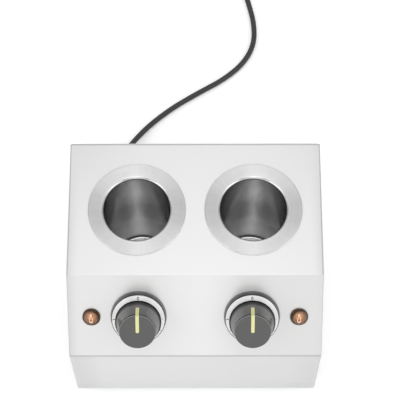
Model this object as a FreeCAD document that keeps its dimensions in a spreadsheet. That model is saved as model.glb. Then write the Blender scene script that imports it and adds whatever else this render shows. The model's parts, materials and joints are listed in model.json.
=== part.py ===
import FreeCAD, Part
import Sketcher
import math
import os
import re
from FreeCAD import Placement, Rotation
from FreeCAD import Vector as V

# Twin-well countertop topping warmer.
# Frame: +X to the user's right, +Y to the rear, +Z up; z = 0 is the surface that the feet stand on.

os.makedirs("parts", exist_ok=True)
doc = FreeCAD.newDocument("topping_warmer")

# ------------------------------------------------------------------ driving dimensions, in millimetres
body_width = 265.0
sheet_t = 1.0
foot_height = 8.8
plate_t = 1.2
body_height = 189.5
top_depth = 148.2
slope_run = 66.15
bend_y = -39.9
control_run = 33.54
well_bore_r = 34.5
cup_t = 1.0

DIMS = [
    ("body_width", body_width, "housing width"),
    ("half_width", body_width / 2, "half of the housing width"),
    ("sheet_t", sheet_t, "housing sheet"),
    ("plate_t", plate_t, "base plate sheet"),
    ("foot_height", foot_height, "rubber foot height"),
    ("bottom_z", foot_height + plate_t, "underside of the housing"),
    ("top_z", foot_height + plate_t + body_height, "top surface"),
    ("shoulder_z", foot_height + plate_t + body_height - slope_run, "fold between the front and the sloped panel"),
    ("front_y", bend_y - slope_run, "front face"),
    ("bend_y", bend_y, "fold between the sloped panel and the top"),
    ("back_y", bend_y + top_depth, "back of the housing"),
    ("fold_off", sheet_t * (math.sqrt(2) - 1), "how far a 45 degree fold moves along its sheet from outside to inside"),
    ("fold_r", 1.6, "outside radius of the folds"),
    ("lip", 12.0, "width of the return lips at the back and underneath"),
    ("inner_width", body_width - 2 * sheet_t, "inside width"),
    ("lip_width", body_width - 24.0, "opening width between the return lips"),
    ("control_y", bend_y - control_run, "middle of the sloped panel, y"),
    ("control_z", foot_height + plate_t + body_height - control_run, "middle of the sloped panel, z"),
    ("well_x", 60.85, "well centre from the middle plane"),
    ("well_y", bend_y + 72.6, "well centre, y"),
    ("well_bore_r", well_bore_r, "inside radius of a well"),
    ("well_outer_r", well_bore_r + cup_t, "outside radius of a well tube"),
    ("well_hole_r", well_bore_r + cup_t + 0.8, "hole in the top for a well"),
    ("well_depth", 167.0, "well floor below the top surface"),
    ("cup_t", cup_t, "well sheet"),
    ("well_bottom", 168.0, "outside of the well floor below the top surface"),
    ("flange_r", 51.2, "outer radius of the well flange"),
    ("flange_out_h", 2.0, "flange height at its rim"),
    ("flange_in_h", 1.7, "flange height at the lip"),
    ("lip_r", 2.8, "rounding from flange to tube"),
    ("ring_r", 46.0, "retaining ring, outer radius"),
    ("ring_t", 3.0, "retaining ring, thickness"),
    ("ring_z", sheet_t + 3.0, "retaining ring underside below the top surface"),
    ("band_in_r", 35.65, "heater band, inner radius"),
    ("band_out_r", 37.65, "heater band, outer radius"),
    ("band_h", 70.0, "heater band height"),
    ("band_z", 145.0, "heater band underside below the top surface"),
    ("jacket_in_r", 38.1, "insulation, inner radius"),
    ("jacket_out_r", 48.8, "insulation, outer radius"),
    ("jacket_h", 130.0, "insulation height"),
    ("jacket_z", 150.0, "insulation underside below the top surface"),
    ("knob_x", 58.8, "knob centre from the middle plane"),
    ("lamp_x", 107.7, "pilot lamp centre from the middle plane"),
    ("shaft_r", 3.0, "thermostat shaft"),
    ("shaft_bore_r", 3.05, "running fit in the thermostat bush"),
    ("shaft_flat", 1.6, "shaft flat from its axis"),
    ("bush_r", 5.0, "thermostat bush"),
    ("bush_hole_r", 5.6, "panel hole for the bush"),
    ("fix_pitch", 14.0, "thermostat fixing screws from its axis"),
    ("fix_hole_r", 2.2, "panel hole for a fixing screw"),
    ("bezel_r", 29.2, "dial bezel at the panel"),
    ("bezel_top_r", 28.0, "dial bezel at its rim"),
    ("bezel_h", 6.2, "dial bezel rim above the panel"),
    ("scale_out_r", 27.35, "scale ring, outer radius"),
    ("scale_in_r", 20.4, "scale ring, inner radius"),
    ("scale_in_h", 10.5, "scale ring, inner edge above the panel"),
    ("scale_t", 0.8, "scale ring thickness"),
    ("knob_base_r", 23.8, "knob rim, radius"),
    ("knob_base_h", 11.0, "knob rim above the panel"),
    ("knob_rim_h", 14.4, "top of the knob rim above the panel"),
    ("knob_step_r", 22.9, "knob skirt above its rim, radius"),
    ("knob_step_h", 15.0, "foot of the skirt above the panel"),
    ("knob_top_r", 19.0, "knob skirt at its top, radius"),
    ("knob_gap_low", 32.5, "shadow gap under the cap, lower edge above the panel"),
    ("knob_gap_high", 33.9, "shadow gap under the cap, upper edge above the panel"),
    ("knob_gap_r", 17.2, "shadow gap, radius at its bottom"),
    ("knob_cap_r", 18.85, "knob cap, radius"),
    ("knob_cap_h", 35.2, "knob cap above the panel"),
    ("knob_edge_r", 0.9, "rounding of the cap edge"),
    ("pointer_w", 3.5, "pointer inlay width"),
    ("pointer_start_h", 22.4, "pointer start above the panel"),
    ("lens_r", 9.4, "pilot lens rim radius"),
    ("lens_dome_r", 8.9, "pilot lens dome radius at its base"),
    ("lens_rim_h", 1.8, "pilot lens rim"),
    ("lens_h", 5.2, "pilot lens height"),
    ("lens_neck_r", 6.8, "pilot lens neck"),
    ("lamp_hole_r", 7.0, "panel hole for a pilot lamp"),
    ("foot_r", 11.0, "rubber foot, radius at the top"),
    ("foot_bottom_r", 9.5, "rubber foot, radius at the bottom"),
    ("foot_x", 104.0, "foot from the middle plane"),
    ("foot_inset", 28.0, "foot from the front and back faces"),
    ("cord_r", 3.2, "cord radius"),
    ("coil_r_out", 45.0, "coil, outer radius"),
    ("coil_r_in", 25.0, "coil, inner radius"),
    ("coil_h", 13.0, "coil height"),
    ("coil_x", -4.0, "coil centre, x"),
    ("coil_y", 446.5, "coil centre, y"),
    ("exit_x", -88.0, "cord exit, x"),
    ("exit_z", 30.0, "cord exit, z"),
    ("boot_len", 32.0, "strain relief outside the panel"),
    ("plug_r", 18.5, "plug radius"),
    ("pin_r", 2.4, "plug pin radius"),
    ("pin_len", 19.0, "plug pin length"),
    ("pin_pitch", 9.5, "plug pin from the plug's axis"),
]
sheet = doc.addObject("Spreadsheet::Sheet", "Dims")
P = {}
for row, (alias, value, note) in enumerate(DIMS, start=1):
    sheet.set("A%d" % row, alias)
    sheet.set("B%d" % row, "%.5f" % value)
    sheet.set("C%d" % row, note)
    sheet.setAlias("B%d" % row, alias)
    P[alias] = round(value, 5)
doc.recompute()


def num(e):
    """The number that an expression of aliases, numbers, + - * and / stands for."""
    if not isinstance(e, str):
        return float(e)
    total = 0.0
    for term in re.findall(r"[+-]?[^+-]+", e.replace(" ", "")):
        sign = -1.0 if term[0] == "-" else 1.0
        term = term.lstrip("+-")
        value, op = 1.0, "*"
        for bit in re.split(r"([*/])", term):
            if bit in "*/":
                op = bit
                continue
            x = P[bit] if bit in P else float(bit)
            value = value * x if op == "*" else value / x
        total += sign * value
    return total


def ex(e):
    """The same expression with its aliases read from the sheet."""
    return re.sub(r"[A-Za-z_]\w*", lambda m: "Dims." + m.group(0), e) if isinstance(e, str) else repr(float(e))


def bind(obj, prop, e):
    obj.setExpression(prop, ex(e))


def put(obj, x=0, y=0, z=0, rot=None):
    """Places an object, with each coordinate bound to the sheet."""
    obj.Placement = Placement(V(num(x), num(y), num(z)), rot or Rotation())
    for axis, e in (("x", x), ("y", y), ("z", z)):
        if isinstance(e, str):
            bind(obj, "Placement.Base." + axis, e)
    return obj


TILT = Rotation(V(1, 0, 0), 45)  # from straight up to square with the sloped panel
ALONG_X = Rotation(V(0, 1, 0), 90)
ALONG_Y = Rotation(V(1, 0, 0), -90)
count = {"n": 0}


def serial(stem):
    count["n"] += 1
    return "%s_%d" % (stem, count["n"])


# ------------------------------------------------------------------ primitives and booleans
def cyl(r, height, x=0, y=0, z=0, rot=None, name="Cyl"):
    c = doc.addObject("Part::Cylinder", serial(name))
    bind(c, "Radius", r)
    bind(c, "Height", height)
    return put(c, x, y, z, rot)


def cone(r1, r2, height, x=0, y=0, z=0, rot=None):
    c = doc.addObject("Part::Cone", serial("Cone"))
    bind(c, "Radius1", r1)
    bind(c, "Radius2", r2)
    bind(c, "Height", height)
    return put(c, x, y, z, rot)


def box(lx, ly, lz, x=0, y=0, z=0, rot=None):
    b = doc.addObject("Part::Box", serial("Box"))
    bind(b, "Length", lx)
    bind(b, "Width", ly)
    bind(b, "Height", lz)
    return put(b, x, y, z, rot)


def ball(r, x=0, y=0, z=0):
    b = doc.addObject("Part::Sphere", serial("Ball"))
    bind(b, "Radius", r)
    return put(b, x, y, z)


def prism(n, across_flats, height, x=0, y=0, z=0, rot=None):
    p = doc.addObject("Part::Prism", serial("Prism"))
    p.Polygon = n
    p.Circumradius = across_flats / 2 / math.cos(math.pi / n)
    bind(p, "Height", height)
    return put(p, x, y, z, rot)


def fuse(*objs):
    if len(objs) == 1:
        return objs[0]
    f = doc.addObject("Part::MultiFuse", serial("Fuse"))
    f.Shapes = list(objs)
    f.Refine = True
    return f


def cut(base, *tools):
    c = doc.addObject("Part::Cut", serial("Cut"))
    c.Base = base
    c.Tool = fuse(*tools)
    return c


def common(a, b):
    c = doc.addObject("Part::MultiCommon", serial("Common"))
    c.Shapes = [a, b]
    return c


def group(*objs):
    c = doc.addObject("Part::Compound", serial("Group"))
    c.Links = list(objs)
    return c


# ------------------------------------------------------------------ bodies from sketches
def origin_plane(body, role):
    return next(f for f in body.Origin.OriginFeatures if f.Role == role)


def sketch(body, role, loops, at=None, rot=None):
    """A sketch on one of the body's own planes. A loop is a list of corners, or (x, y, radius) for a circle."""
    s = body.newObject("Sketcher::SketchObject", serial("Sketch"))
    s.AttachmentSupport = [(origin_plane(body, role), "")]
    s.MapMode = "FlatFace"
    if at is not None:
        s.AttachmentOffset = Placement(V(*[num(e) for e in at]), rot or Rotation())
        for axis, e in zip("xyz", at):
            if isinstance(e, str):
                bind(s, "AttachmentOffset.Base." + axis, e)
    for loop in loops:
        if isinstance(loop, tuple):
            x, y, r = loop
            g = s.addGeometry(Part.Circle(V(num(x), num(y), 0), V(0, 0, 1), num(r)), False)
            k = s.addConstraint(rule("Radius", g, num(r)))
            if isinstance(r, str):
                bind(s, "Constraints[%d]" % k, r)
            for kind, e in (("DistanceX", x), ("DistanceY", y)):
                pin_to(s, kind, g, 3, e)
            continue
        n = len(loop)
        pts = [V(num(x), num(y), 0) for x, y in loop]
        first = s.GeometryCount
        for i in range(n):
            s.addGeometry(Part.LineSegment(pts[i], pts[(i + 1) % n]), False)
        for i in range(n):
            s.addConstraint(rule("Coincident", first + i, 2, first + (i + 1) % n, 1))
        for i, (x, y) in enumerate(loop):
            pin_to(s, "DistanceX", first + i, 1, x)
            pin_to(s, "DistanceY", first + i, 1, y)
    return s


def rule(*args):
    return Sketcher.Constraint(*args)


def pin_to(s, kind, geo, pos, e):
    """Holds a point at a signed distance from the sketch's origin."""
    value = num(e)
    if abs(value) < 1e-9:
        s.addConstraint(rule("PointOnObject", geo, pos, -2 if kind == "DistanceX" else -1))
        return
    k = s.addConstraint(rule(kind, -1, 1, geo, pos, value))
    if isinstance(e, str):
        bind(s, "Constraints[%d]" % k, e)


def new_body(name):
    return doc.addObject("PartDesign::Body", name)


def symmetric(f):
    if hasattr(f, "SideType"):
        f.SideType = "Symmetric"
    else:
        f.Midplane = True


def pad(body, s, length, middle=False, back=False):
    f = body.newObject("PartDesign::Pad", serial("Pad"))
    f.Profile = s
    bind(f, "Length", length)
    if middle:
        symmetric(f)
    f.Reversed = back
    s.Visibility = False
    doc.recompute()
    return f


def pocket(body, s, length, middle=False, back=False):
    before = body.Shape.Volume
    f = body.newObject("PartDesign::Pocket", serial("Pocket"))
    f.Profile = s
    bind(f, "Length", length)
    if middle:
        symmetric(f)
    f.Reversed = back
    doc.recompute()
    if not f.Shape.Volume < before - 1e-3:
        raise RuntimeError("pocket in %s cuts nothing" % body.Name)
    return f


def revolve(body, loops):
    s = sketch(body, "XZ_Plane", loops)
    f = body.newObject("PartDesign::Revolution", serial("Revolution"))
    f.Profile = s
    f.ReferenceAxis = (s, ["V_Axis"])
    f.Angle = 360
    doc.recompute()
    return f


def edges_where(shape, test):
    return ["Edge%d" % (i + 1) for i, e in enumerate(shape.Edges) if test(e)]


def fillet(body, base, test, radius):
    names = edges_where(base.Shape, test)
    if not names:
        raise RuntimeError("no edge to round on %s" % body.Name)
    f = body.newObject("PartDesign::Fillet", serial("Fillet"))
    f.Base = (base, names)
    bind(f, "Radius", radius)
    doc.recompute()
    return f


def ring_edge(r, z, tol=0.02):
    """Picks the circular edge of radius r at height z."""

    def test(e):
        c = e.Curve
        return hasattr(c, "Radius") and abs(c.Radius - r) < tol and abs(c.Center.z - z) < tol

    return test


# ------------------------------------------------------------------ free shapes
def tube(points, radius, report=None):
    """A round tube along straight runs joined by tangent arcs, each as large as its two runs allow."""
    pts = [V(*p) for p in points]
    edges, start, radii, length = [], pts[0], [], 0.0
    for a, b, c in zip(pts, pts[1:], pts[2:]):
        u, w = (b - a), (c - b)
        lu, lw = u.Length, w.Length
        u.normalize()
        w.normalize()
        turn = math.acos(max(-1.0, min(1.0, u.dot(w))))
        back = 0.45 * min(lu, lw)
        r = back / math.tan(turn / 2)
        radii.append(r)
        p1, p2 = b - u * back, b + w * back
        inward = w - u
        inward.normalize()
        centre = b + inward * (r / math.cos(turn / 2))
        middle = centre - inward * r
        edges += [Part.LineSegment(start, p1).toShape(), Part.Arc(p1, middle, p2).toShape()]
        length += (p1 - start).Length + r * turn
        start = p2
    edges.append(Part.LineSegment(start, pts[-1]).toShape())
    length += (pts[-1] - start).Length
    path = Part.Wire(edges)
    first = pts[1] - pts[0]
    profile = Part.Wire(Part.Circle(pts[0], first, radius).toShape())
    solid = path.makePipeShell([profile], True, True)
    want = math.pi * radius * radius * length
    if abs(solid.Volume - want) > 0.01 * want:
        raise RuntimeError("tube volume %.1f is not section times length %.1f" % (solid.Volume, want))
    if report:
        print(report, "length %.1f mm, volume %.1f of %.1f mm3" % (length, solid.Volume, want))
        print("  arc radii", " ".join("%.1f" % r for r in radii))
        print("  turns", " ".join("%.0f" % math.degrees(math.acos(max(-1, min(1, ((b - a).normalize()).dot((c - b).normalize()))))) for a, b, c in zip(pts, pts[1:], pts[2:])))
    return solid


def feature(name, shape):
    f = doc.addObject("Part::Feature", name)
    f.Shape = shape
    return f


NODES = []


def node(label, obj):
    obj.Label = label
    NODES.append(obj)
    return obj


# ================================================================== housing
# One welded wrapper: front, 45 degree control panel, top, sides, and return lips at the back and underneath.
housing = new_body("HousingShell")
outer = pad(
    housing,
    sketch(housing, "YZ_Plane", [[("front_y", "bottom_z"), ("front_y", "shoulder_z"), ("bend_y", "top_z"), ("back_y", "top_z"), ("back_y", "bottom_z")]]),
    "body_width",
    middle=True,
)
fillet(housing, outer, lambda e: max(v.Z for v in e.Vertexes) > P["bottom_z"] + 1, "fold_r")
inside = [
    ("front_y+sheet_t", "bottom_z+sheet_t"),
    ("front_y+sheet_t", "shoulder_z-fold_off"),
    ("bend_y+fold_off", "top_z-sheet_t"),
    ("back_y-sheet_t", "top_z-sheet_t"),
    ("back_y-sheet_t", "bottom_z+sheet_t"),
]
pocket(housing, sketch(housing, "YZ_Plane", [inside]), "inner_width", middle=True)
under = [("front_y+lip", "bottom_z-1"), ("front_y+lip", "bottom_z+2"), ("back_y-lip", "bottom_z+2"), ("back_y-lip", "bottom_z-1")]
pocket(housing, sketch(housing, "YZ_Plane", [under]), "lip_width", middle=True)
rear = [("back_y-2", "bottom_z+lip"), ("back_y-2", "top_z-lip"), ("back_y+1", "top_z-lip"), ("back_y+1", "bottom_z+lip")]
pocket(housing, sketch(housing, "YZ_Plane", [rear]), "lip_width", middle=True)
pocket(
    housing,
    sketch(housing, "XY_Plane", [("well_x", "well_y", "well_hole_r"), ("-well_x", "well_y", "well_hole_r")], at=(0, 0, "top_z+1")),
    4.0,
)
panel_holes = []
for sx in ("", "-"):
    panel_holes += [
        (sx + "knob_x", 0, "bush_hole_r"),
        (sx + "knob_x+fix_pitch", 0, "fix_hole_r"),
        (sx + "knob_x-fix_pitch", 0, "fix_hole_r"),
        (sx + "lamp_x", 0, "lamp_hole_r"),
    ]
pocket(housing, sketch(housing, "XY_Plane", panel_holes, at=(0, "control_y", "control_z"), rot=TILT), 2.0)
REAR_SCREWS = [(sx * 125.0, z) for sx in (-1, 1) for z in (32.0, 105.0, 178.0)]
BASE_SCREWS = [(sx * 125.0, y) for sx in (-1, 1) for y in (-78.0, 1.0, 80.0)]
shell = cut(
    housing,
    *[cyl(1.75, 3.0, x, "back_y-2", z, ALONG_Y) for x, z in REAR_SCREWS],
    *[cyl(1.75, 3.0, x, y, "bottom_z-1") for x, y in BASE_SCREWS],
)
node("housing_shell", shell)

# ------------------------------------------------------------------ rear panel
panel = box(261.0, 1.0, 184.5, -130.5, "back_y", 12.5)
slots = [box(3.2, 3.0, 26.0, -57.6 + 14 * i, "back_y-1", z) for i in range(9) for z in (146.0, 60.0)]
rear_panel = cut(
    panel,
    *slots,
    *[cyl(1.85, 3.0, x, "back_y-1", z, ALONG_Y) for x, z in REAR_SCREWS],
    cyl(6.6, 3.0, "exit_x", "back_y-1", "exit_z", ALONG_Y),
)
node("rear_panel", rear_panel)


def pan_screw(shank_r, shank, head_r, head):
    """A pan-head screw along +Z: the head's underside is at z = 0 and the shank points down."""
    b = new_body(serial("PanScrew"))
    rev = revolve(b, [[(0, -shank), (shank_r, -shank), (shank_r, 0), (head_r, 0), (head_r, head), (0, head)]])
    fillet(b, rev, ring_edge(head_r, head), head * 0.6)
    return b


def cross_headed(shank_r, shank, head_r, head, x, y, z, rot):
    s = cut(
        pan_screw(shank_r, shank, head_r, head),
        box(head_r * 1.1, 0.7, head, -head_r * 0.55, -0.35, head * 0.45),
        box(0.7, head_r * 1.1, head, -0.35, -head_r * 0.55, head * 0.45),
    )
    return put(s, x, y, z, rot)


BACKWARD = Rotation(V(1, 0, 0), -90)  # +Z of the screw to +Y
node("rear_panel_screws", group(*[cross_headed(1.7, 6.0, 3.4, 1.9, x, "back_y+1", z, BACKWARD) for x, z in REAR_SCREWS]))

# ------------------------------------------------------------------ base plate, feet
FEET = [(sx * 1.0, front) for sx in (-1, 1) for front in (True, False)]


def foot_y(front):
    return "front_y+foot_inset" if front else "back_y-foot_inset"


plate = box(257.0, "back_y-front_y-6", "plate_t", -128.5, "front_y+3", "foot_height")
vents = [box(42.0, 4.0, 3.0, x, -52.0 + 13 * i, "foot_height-1") for i in range(9) for x in (-86.0, 44.0)]
base_plate = cut(
    plate,
    *vents,
    *[cyl(1.85, 3.0, x, y, "foot_height-1") for x, y in BASE_SCREWS],
    *[cyl(2.2, 3.0, sx * P["foot_x"], foot_y(fr), "foot_height-1") for sx, fr in FEET],
    cyl(2.2, 3.0, 0, 52.0, "foot_height-1"),
    cyl(1.7, 3.0, -20.0, 82.0, "foot_height-1"),
    cyl(1.7, 3.0, 20.0, 82.0, "foot_height-1"),
)
node("base_plate", base_plate)
DOWNWARD = Rotation(V(1, 0, 0), 180)
node("base_plate_screws", group(*[cross_headed(1.7, 6.0, 3.4, 1.9, x, y, "foot_height", DOWNWARD) for x, y in BASE_SCREWS]))

for sx, fr in FEET:
    f = new_body(serial("Foot"))
    rev = revolve(
        f,
        [[(2.15, 4.6), (5.2, 4.6), (5.2, 0), ("foot_bottom_r", 0), ("foot_r", "foot_height"), (2.15, "foot_height")]],
    )
    fillet(f, rev, ring_edge(P["foot_bottom_r"], 0), 1.0)
    put(f, sx * P["foot_x"], foot_y(fr), 0)
    node("%s_%s_foot" % ("front" if fr else "rear", "left" if sx < 0 else "right"), f)
foot_screws = [cross_headed(2.0, 10.2, 3.9, 2.6, sx * P["foot_x"], foot_y(fr), 4.6, DOWNWARD) for sx, fr in FEET]
foot_nuts = [put(cut(prism(6, 7.0, 3.2), cyl(2.05, 5.0, 0, 0, -1)), sx * P["foot_x"], foot_y(fr), "bottom_z") for sx, fr in FEET]
node("foot_screws", group(*foot_screws, *foot_nuts))

# ================================================================== wells, heaters, controls: one set on each side
for side, sg in (("left", "-"), ("right", "")):
    sx = -1.0 if side == "left" else 1.0
    wx, kx, lx = sg + "well_x", sg + "knob_x", sg + "lamp_x"

    # spun cup with its flange; local z = 0 is the top surface of the housing
    cup = new_body(serial("WellCup"))
    rev = revolve(
        cup,
        [
            [
                ("flange_r", 0),
                ("flange_r", "flange_out_h"),
                ("well_bore_r", "flange_in_h"),
                ("well_bore_r", "-well_depth"),
                (0, "-well_depth"),
                (0, "-well_bottom"),
                ("well_outer_r", "-well_bottom"),
                ("well_outer_r", 0),
            ]
        ],
    )
    f1 = fillet(cup, rev, ring_edge(P["well_bore_r"], P["flange_in_h"]), "lip_r")
    f2 = fillet(cup, f1, ring_edge(P["flange_r"], P["flange_out_h"]), 0.9)
    f3 = fillet(cup, f2, ring_edge(P["well_bore_r"], -P["well_depth"]), 2.2)
    fillet(cup, f3, ring_edge(P["well_outer_r"], -P["well_bottom"]), 3.2)
    node(side + "_well_cup", put(cup, wx, "well_y", "top_z"))

    ring = cut(cyl("ring_r", "ring_t", 0, 0, 0), cyl("well_outer_r+0.1", 6.0, 0, 0, -1))
    node(side + "_well_retaining_ring", put(ring, wx, "well_y", "top_z-ring_z"))

    # band heater: an open sleeve with two ears drawn together by a screw; the gap faces the front
    sleeve = cut(cyl("band_out_r", "band_h"), cyl("band_in_r", 74.0, 0, 0, -2), box(17.8, 60.0, 74.0, -8.9, -60.0, -2))
    ears = [box(1.5, 15.2, 24.0, x, -50.7, 23.0) for x in (-10.3, 8.8)]
    band = cut(fuse(sleeve, *ears), cyl(2.2, 40.0, -20.0, -45.7, 35.0, ALONG_X), cyl("band_in_r", 74.0, 0, 0, -2))
    node(side + "_heater_band", put(band, wx, "well_y", "top_z-band_z"))
    clamp = fuse(cyl(2.0, 27.0, -10.3, 0, 0, ALONG_X), cyl(3.5, 2.6, -12.9, 0, 0, ALONG_X))
    clamp_nut = cut(prism(6, 7.0, 3.2, 10.3, 0, 0, ALONG_X), cyl(2.05, 6.0, 9.0, 0, 0, ALONG_X))
    node(side + "_heater_clamp_screw", put(group(clamp, clamp_nut), wx, "well_y-45.7", "top_z-band_z+35"))

    jacket = cut(cyl("jacket_out_r", "jacket_h"), cyl("jacket_in_r", 140.0, 0, 0, -5), box(40.0, 60.0, 140.0, -20.0, -62.0, -5))
    node(side + "_insulation_jacket", put(jacket, wx, "well_y", "top_z-jacket_z"))

    cutout = fuse(
        cyl(12.0, 1.0, 0, 0, -1.0), cyl(8.0, 8.0, 0, 0, -9.0), box(0.8, 6.3, 7.5, -5.4, -3.15, -16.0), box(0.8, 6.3, 7.5, 4.6, -3.15, -16.0)
    )
    node(side + "_thermal_cutout", put(cutout, wx, "well_y", "top_z-well_bottom"))

    # thermostat behind the sloped panel; local z = 0 is the outer face of the panel, +Z points out of it
    block = cut(
        fuse(box(36.0, 36.0, 26.0, -18.0, -18.0, -28.5), box(42.0, 24.0, 1.5, -21.0, -12.0, -2.5), cyl("bush_r", 5.5, 0, 0, -2.5)),
        cyl("shaft_bore_r", 30.0, 0, 0, -20.0),
        cyl(2.05, 3.0, "fix_pitch", 0, -3.5),
        cyl(2.05, 3.0, "-fix_pitch", 0, -3.5),
        cyl(2.6, 4.0, "fix_pitch", 0, -6.5),
        cyl(2.6, 4.0, "-fix_pitch", 0, -6.5),
    )
    tabs = [box(0.8, 6.3, 9.0, x - 0.4, -3.15, -37.5) for x in (-8.0, 8.0)]
    node(side + "_thermostat_body", put(fuse(block, *tabs), kx, "control_y", "control_z", TILT))
    shaft = cut(cyl("shaft_r", 49.5, 0, 0, -19.5), box(10.0, 5.0, 20.0, -5.0, "shaft_flat", 11.6))
    node(side + "_thermostat_shaft", put(shaft, kx, "control_y", "control_z", TILT))

    # dial: a dark moulded bezel under a pale conical scale ring
    bez = new_body(serial("Bezel"))
    revolve(
        bez,
        [
            [
                (26.3, 0),
                ("bezel_r", 0),
                ("bezel_top_r", "bezel_h"),
                ("scale_out_r", "bezel_h"),
                ("scale_out_r", "bezel_h-scale_t"),
                ("scale_in_r", "scale_in_h-scale_t"),
                (9.0, "scale_in_h-scale_t"),
                (9.0, "scale_in_h-scale_t-1.6"),
                (19.6, "scale_in_h-scale_t-1.6"),
                (26.3, 3.6),
            ]
        ],
    )
    node(side + "_dial_bezel", put(bez, kx, "control_y", "control_z", TILT))
    scale = new_body(serial("ScaleRing"))
    revolve(
        scale,
        [[("scale_in_r", "scale_in_h-scale_t"), ("scale_out_r", "bezel_h-scale_t"), ("scale_out_r", "bezel_h+0.1"), ("scale_in_r", "scale_in_h")]],
    )
    node(side + "_dial_scale_ring", put(scale, kx, "control_y", "control_z", TILT))

    # knob: hollow tapered moulding with a D-bored hub
    kb = new_body(serial("Knob"))
    rev = revolve(
        kb,
        [
            [
                (0, 12.4),
                (6.5, 12.4),
                (6.5, 31.6),
                (16.6, 31.6),
                (21.2, "knob_base_h"),
                ("knob_base_r", "knob_base_h"),
                ("knob_base_r", "knob_rim_h"),
                ("knob_step_r", "knob_step_h"),
                ("knob_top_r", "knob_gap_low"),
                ("knob_gap_r", "knob_gap_low"),
                ("knob_gap_r", "knob_gap_high"),
                ("knob_cap_r", "knob_gap_high"),
                ("knob_cap_r", "knob_cap_h"),
                (0, "knob_cap_h"),
            ]
        ],
    )
    fillet(kb, rev, ring_edge(P["knob_cap_r"], P["knob_cap_h"]), "knob_edge_r")
    bore = cut(cyl("shaft_r+0.03", 19.0, 0, 0, 11.2), box(10.0, 5.0, 20.0, -5.0, "shaft_flat+0.03", 11.0))
    # pointer inlay: a strip 1.1 mm deep that follows the skirt and the cap, 0.2 mm proud of both
    fall = (num("knob_step_r") - num("knob_top_r")) / (num("knob_gap_low") - num("knob_step_h"))
    slant = math.sqrt(1 + fall * fall)

    def skirt(h, off):
        return num("knob_step_r") - fall * (h - num("knob_step_h")) + off * slant

    def band_solid(low, proud, deep):
        b = new_body(serial("PointerBand"))
        top = num("knob_cap_h")
        revolve(
            b,
            [
                [
                    (0, top - deep),
                    (skirt(top - deep, -deep), top - deep),
                    (skirt(low, -deep), low),
                    (skirt(low, proud), low),
                    (skirt(top + proud, proud), top + proud),
                    (0, top + proud),
                ]
            ],
        )
        return b

    def slot_prism():
        return fuse(box("pointer_w", 30.0, 30.0, "-pointer_w/2", 0.7, 15.0), cyl("pointer_w/2", 30.0, 0, 0.7, 15.0))

    pointer = common(band_solid(num("pointer_start_h"), 0.2, 0.9), slot_prism())
    groove = common(band_solid(num("pointer_start_h"), 3.0, 0.9), slot_prism())
    node(side + "_knob", put(cut(kb, bore, groove), kx, "control_y", "control_z", TILT))
    node(side + "_knob_pointer", put(pointer, kx, "control_y", "control_z", TILT))

    # pilot lamp: domed lens with a neck through the panel, push-on clip, holder and neon bulb
    def dome(r_base, h, z):
        """The cap of a sphere, h high on a circle of radius r_base at height z."""
        big = (r_base * r_base + h * h) / (2 * h)
        return common(ball(big, 0, 0, z + h - big), cyl(r_base, h + 1.0, 0, 0, z))

    lens = cut(
        fuse(dome(num("lens_dome_r"), num("lens_h") - num("lens_rim_h"), num("lens_rim_h")), cyl("lens_r", "lens_rim_h"), cyl("lens_neck_r", 8.0, 0, 0, -8.0)),
        fuse(dome(5.7, 1.5, 1.9), cyl(5.7, 10.9, 0, 0, -9.0)),
    )
    node(side + "_lamp_lens", put(lens, lx, "control_y", "control_z", TILT))
    clip = cut(cyl(10.5, 1.0, 0, 0, -2.1), cyl("lens_neck_r+0.05", 4.0, 0, 0, -3.5), box(1.2, 24.0, 3.0, -0.6, 7.2, -3.0))
    node(side + "_lamp_clip", put(clip, lx, "control_y", "control_z", TILT))
    holder = cut(
        fuse(cyl(5.6, 17.0, 0, 0, -20.0), box(0.8, 4.8, 8.0, -3.4, -2.4, -27.8), box(0.8, 4.8, 8.0, 2.6, -2.4, -27.8)), cyl(3.1, 9.0, 0, 0, -11.0)
    )
    node(side + "_lamp_holder", put(holder, lx, "control_y", "control_z", TILT))
    bulb = fuse(cyl(2.9, 9.6, 0, 0, -10.8), ball(2.9, 0, 0, -1.2))
    node(side + "_neon_bulb", put(bulb, lx, "control_y", "control_z", TILT))

fixing = []
for kx in ("-knob_x", "knob_x"):
    for px in ("-fix_pitch", "+fix_pitch"):
        fixing.append(cross_headed(2.0, 5.0, 3.6, 2.2, kx + px, "control_y", "control_z", TILT))
node("thermostat_screws", group(*fixing))

# ================================================================== wiring inside, each lead a plain insulated tube
CY, CZ = P["control_y"], P["control_z"]
S45 = math.sqrt(0.5)
KX, WX, LX = P["knob_x"], P["well_x"], P["lamp_x"]


def behind(x, depth):
    """A point depth below the sloped panel's outer face."""
    return (x, CY + depth * S45, CZ - depth * S45)


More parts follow.
